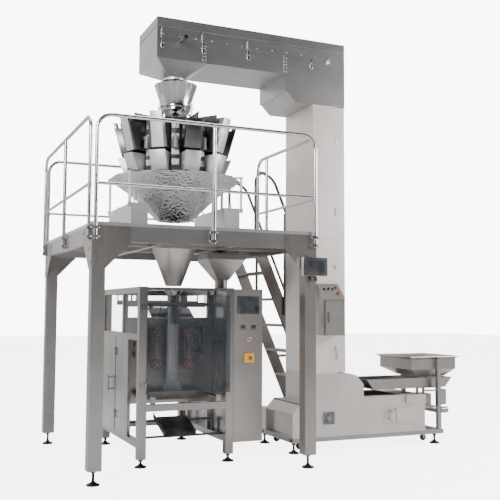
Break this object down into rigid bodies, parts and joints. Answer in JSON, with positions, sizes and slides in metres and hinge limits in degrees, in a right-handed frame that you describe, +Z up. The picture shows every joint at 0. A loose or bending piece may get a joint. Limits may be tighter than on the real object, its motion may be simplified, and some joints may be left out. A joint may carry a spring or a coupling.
{
  "type": "vertical form fill seal packing line",
  "caption": "Vertical form fill seal machine under a railed work platform with a combination weigher, fed by a Z-shaped bucket elevator from a floor-level hopper",
  "frame": {"origin": "middle of the line's bounding box, on the floor", "axes": "+X runs right along the line from the bag former to the feed hopper, +Y runs back, away from the operator side, +Z up"},
  "size_m": [4.4328, 2.4296, 4.345],
  "materials": {
    "platform_steel": "satin",
    "deck_steel": "satin",
    "rail_steel": "polished",
    "dimpled_steel": "embossed",
    "bright_steel": "satin",
    "dark_steel": "satin",
    "former_steel": "satin",
    "sheet_steel": "satin",
    "polished_steel": "polished",
    "clear_sheet": "clear",
    "clear_film": "clear",
    "white_film": "matte",
    "black_plastic": "matte",
    "red_plastic": "gloss",
    "belt_rubber": "matte",
    "caster_rubber": "matte",
    "bucket_plastic": "satin",
    "motor_paint": "satin",
    "jaw_metal": "satin"
  },
  "bodies": {
    "line_frame": {"platform_legs": "platform_steel", "levelling_feet": "polished_steel", "deck_frame": "platform_steel", "deck_plate": "deck_steel", "guard_rails": "rail_steel", "stair": "platform_steel", "stair_handrails": "rail_steel", "weigher_base": "bright_steel", "weigher_drum": "sheet_steel", "collecting_chute": "dimpled_steel", "feed_hoppers": "dimpled_steel", "weigh_hoppers": "dimpled_steel", "infeed_funnel": "polished_steel", "deck_chutes": "sheet_steel", "bagger_frame": "former_steel", "bagger_panels": "sheet_steel", "side_window": "clear_sheet", "cabinet_shell": "sheet_steel", "forming_tube": "polished_steel", "forming_collar": "polished_steel", "film_web": "clear_film", "outlet_chute": "black_plastic", "elevator_top_housing": "sheet_steel", "elevator_top_cover": "sheet_steel", "elevator_column": "sheet_steel", "elevator_boot": "sheet_steel", "elevator_base_frame": "platform_steel", "discharge_hopper": "bright_steel", "bucket_chain": "bucket_plastic", "drive_motor": "motor_paint", "control_box": "bright_steel", "feed_hopper": "bright_steel", "hopper_frame": "bright_steel"},
    "leg_screen": {"leg_screen": "bright_steel"},
    "top_cone": {"top_cone": "polished_steel"},
    "side_door": {"side_door": "sheet_steel"},
    "front_door": {"front_door": "clear_sheet"},
    "cabinet_door": {"cabinet_door": "sheet_steel", "cabinet_controls": "black_plastic"},
    "selector_switch": {"selector_switch": "black_plastic"},
    "stop_button": {"stop_button": "red_plastic"},
    "belt_head_left": {"belt_head_left": "belt_rubber"},
    "belt_head_right": {"belt_head_right": "belt_rubber"},
    "pulley_left_upper": {"pulley_left_upper": "jaw_metal"},
    "pulley_left_lower": {"pulley_left_lower": "jaw_metal"},
    "pulley_right_upper": {"pulley_right_upper": "jaw_metal"},
    "pulley_right_lower": {"pulley_right_lower": "jaw_metal"},
    "vertical_sealer": {"vertical_sealer": "dark_steel"},
    "front_jaw": {"front_jaw": "jaw_metal"},
    "rear_jaw": {"rear_jaw": "jaw_metal"},
    "film_roll": {"film_roll": "white_film"},
    "column_door": {"column_door": "sheet_steel"},
    "caster_wheels_left": {"caster_wheels_left": "caster_rubber"},
    "caster_wheels_right": {"caster_wheels_right": "caster_rubber"},
    "head_sprockets": {"head_sprockets": "dark_steel"},
    "tail_sprockets": {"tail_sprockets": "dark_steel"},
    "control_box_door": {"control_box_door": "bright_steel"},
    "speed_knob": {"speed_knob": "black_plastic"},
    "emergency_button": {"emergency_button": "red_plastic"},
    "vibrating_tray": {"vibrating_tray": "bright_steel"}
  },
  "joints": [
    {"name": "screen_tilt", "type": "hinge", "parent": "line_frame", "child": "leg_screen", "pos_m": [-0.08465, -1.17985, 1.76], "axis": [1, 0, 0], "range_deg": [0, 25]},
    {"name": "cone_vibration", "type": "slide", "parent": "line_frame", "child": "top_cone", "axis": [0, 0, 1], "range_m": [-0.0003, 0.002], "stiffness_N_per_m": 60000},
    {"name": "side_door_hinge", "type": "hinge", "parent": "line_frame", "child": "side_door", "pos_m": [-1.59865, 0.29515, 0.585], "axis": [0, 0, 1], "range_deg": [0, 115]},
    {"name": "front_door_hinge", "type": "hinge", "parent": "line_frame", "child": "front_door", "pos_m": [-1.51865, -0.57185, 1.1], "axis": [0, 0, -1], "range_deg": [0, 105]},
    {"name": "cabinet_door_hinge", "type": "hinge", "parent": "line_frame", "child": "cabinet_door", "pos_m": [-0.32265, -0.54985, 0.92], "axis": [0, 0, 1], "range_deg": [0, 110]},
    {"name": "selector_turn", "type": "hinge", "parent": "cabinet_door", "child": "selector_switch", "pos_m": [-0.46615, -0.54985, 1.17], "axis": [0, -1, 0], "range_deg": [-45, 45]},
    {"name": "stop_press", "type": "slide", "parent": "cabinet_door", "child": "stop_button", "axis": [0, 1, 0], "range_m": [0, 0.005], "stiffness_N_per_m": 2000},
    {"name": "belt_left_travel", "type": "slide", "parent": "line_frame", "child": "belt_head_left", "axis": [1, 0, 0], "range_m": [0, 0.048]},
    {"name": "belt_right_travel", "type": "slide", "parent": "line_frame", "child": "belt_head_right", "axis": [-1, 0, 0], "range_m": [0, 0.048]},
    {"name": "pulley_left_upper_turn", "type": "hinge", "parent": "belt_head_left", "child": "pulley_left_upper", "pos_m": [-1.27645, -0.10485, 1.207], "axis": [0, 1, 0], "continuous": true},
    {"name": "pulley_left_lower_turn", "type": "hinge", "parent": "belt_head_left", "child": "pulley_left_lower", "pos_m": [-1.27645, -0.10485, 0.915], "axis": [0, 1, 0], "continuous": true},
    {"name": "pulley_right_upper_turn", "type": "hinge", "parent": "belt_head_right", "child": "pulley_right_upper", "pos_m": [-0.94185, -0.10485, 1.207], "axis": [0, 1, 0], "continuous": true},
    {"name": "pulley_right_lower_turn", "type": "hinge", "parent": "belt_head_right", "child": "pulley_right_lower", "pos_m": [-0.94185, -0.10485, 0.915], "axis": [0, 1, 0], "continuous": true},
    {"name": "sealer_swing", "type": "hinge", "parent": "line_frame", "child": "vertical_sealer", "pos_m": [-0.85915, -0.22985, 1.165], "axis": [0, 0, -1], "range_deg": [0, 60]},
    {"name": "front_jaw_travel", "type": "slide", "parent": "line_frame", "child": "front_jaw", "axis": [0, 1, 0], "range_m": [0, 0.0585]},
    {"name": "rear_jaw_travel", "type": "slide", "parent": "line_frame", "child": "rear_jaw", "axis": [0, -1, 0], "range_m": [0, 0.0585]},
    {"name": "film_roll_turn", "type": "hinge", "parent": "line_frame", "child": "film_roll", "pos_m": [-1.10915, 0.61015, 0.64], "axis": [1, 0, 0], "continuous": true},
    {"name": "column_door_hinge", "type": "hinge", "parent": "line_frame", "child": "column_door", "pos_m": [0.60735, -0.43385, 2.2], "axis": [0, 0, -1], "range_deg": [0, 85]},
    {"name": "casters_left_turn", "type": "hinge", "parent": "line_frame", "child": "caster_wheels_left", "pos_m": [0.20835, -0.10485, 0.06], "axis": [0, 1, 0], "continuous": true},
    {"name": "casters_right_turn", "type": "hinge", "parent": "line_frame", "child": "caster_wheels_right", "pos_m": [1.76135, -0.10485, 0.06], "axis": [0, 1, 0], "continuous": true},
    {"name": "head_shaft_turn", "type": "hinge", "parent": "line_frame", "child": "head_sprockets", "pos_m": [-1.16415, -0.10485, 4.125], "axis": [0, 1, 0], "continuous": true},
    {"name": "tail_shaft_turn", "type": "hinge", "parent": "line_frame", "child": "tail_sprockets", "pos_m": [1.51735, -0.10485, 0.341], "axis": [0, 1, 0], "continuous": true},
    {"name": "control_box_door_hinge", "type": "hinge", "parent": "line_frame", "child": "control_box_door", "pos_m": [0.60835, -0.57985, 1.385], "axis": [0, 0, 1], "range_deg": [0, 100]},
    {"name": "speed_turn", "type": "hinge", "parent": "line_frame", "child": "speed_knob", "pos_m": [0.46935, -0.47755, 1.68288], "axis": [0, -0.735, 0.6781], "range_deg": [-140, 140]},
    {"name": "emergency_press", "type": "slide", "parent": "line_frame", "child": "emergency_button", "axis": [0, 0.735, -0.6781], "range_m": [0, 0.005], "stiffness_N_per_m": 2000},
    {"name": "tray_vibration", "type": "slide", "parent": "line_frame", "child": "vibrating_tray", "axis": [1, 0, 0], "range_m": [-0.003, 0.003], "stiffness_N_per_m": 120000}
  ],
  "couplings": [
    {"joint": "belt_right_travel", "follows": "belt_left_travel", "ratio": 1},
    {"joint": "pulley_left_lower_turn", "follows": "pulley_left_upper_turn", "ratio": 1},
    {"joint": "pulley_right_upper_turn", "follows": "pulley_left_upper_turn", "ratio": -1},
    {"joint": "pulley_right_lower_turn", "follows": "pulley_left_upper_turn", "ratio": -1},
    {"joint": "rear_jaw_travel", "follows": "front_jaw_travel", "ratio": 1},
    {"joint": "tail_shaft_turn", "follows": "head_shaft_turn", "ratio": 1}
  ]
}
